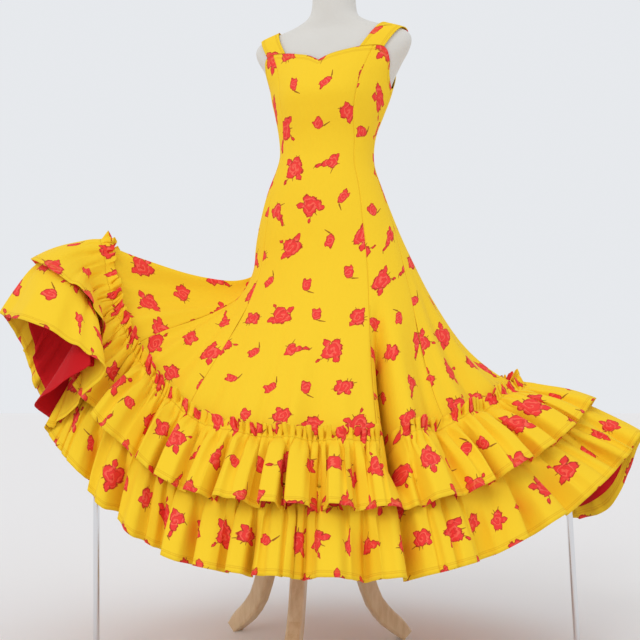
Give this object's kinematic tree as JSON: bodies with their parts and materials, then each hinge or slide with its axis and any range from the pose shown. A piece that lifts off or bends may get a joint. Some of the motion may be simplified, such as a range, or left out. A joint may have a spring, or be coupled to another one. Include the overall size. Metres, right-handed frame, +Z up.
{
  "type": "ruffled flamenco dress on a limbless dress form with a tripod stand",
  "caption": "Floor-length sleeveless flamenco dress with a sweetheart neck and gathered ruffles at the hem, on a limbless dress form and stand, its skirt spread over plain poles.",
  "frame": {"origin": "middle of the bounding box, on the floor", "axes": "+Z up, the skirt spread along X, its front towards -Y, the raised end of the skirt towards -X"},
  "size_m": [1.5017, 1.0104, 1.6263],
  "materials": {
    "yellow_print": "soft printed cotton, yellow with red roses",
    "red_lining": "plain deep red cloth",
    "form_jersey": "fine stretched cream jersey",
    "pale_wood": "pale clear-finished wood",
    "chrome": "polished"
  },
  "bodies": {
    "root": {"panel_front_centre": "yellow_print", "panel_front_side_right": "yellow_print", "panel_front_side_left": "yellow_print", "gore_left": "yellow_print", "gore_right": "yellow_print", "panel_back_side_left": "yellow_print", "panel_back_side_right": "yellow_print", "panel_back_centre_left": "yellow_print", "panel_back_centre_right": "yellow_print", "strap_left": "yellow_print", "strap_right": "yellow_print", "ruffle_upper": "yellow_print", "ruffle_lower": "yellow_print", "ruffle_lining": "red_lining", "form_torso": "form_jersey", "form_neck_cap": "pale_wood", "stand_column": "chrome", "stand_hub": "pale_wood", "leg_front": "pale_wood", "leg_left": "pale_wood", "leg_right": "pale_wood", "prop_pole_left": "chrome", "prop_pole_right": "chrome", "prop_base_left": "chrome", "prop_base_right": "chrome"}
  },
  "joints": []
}
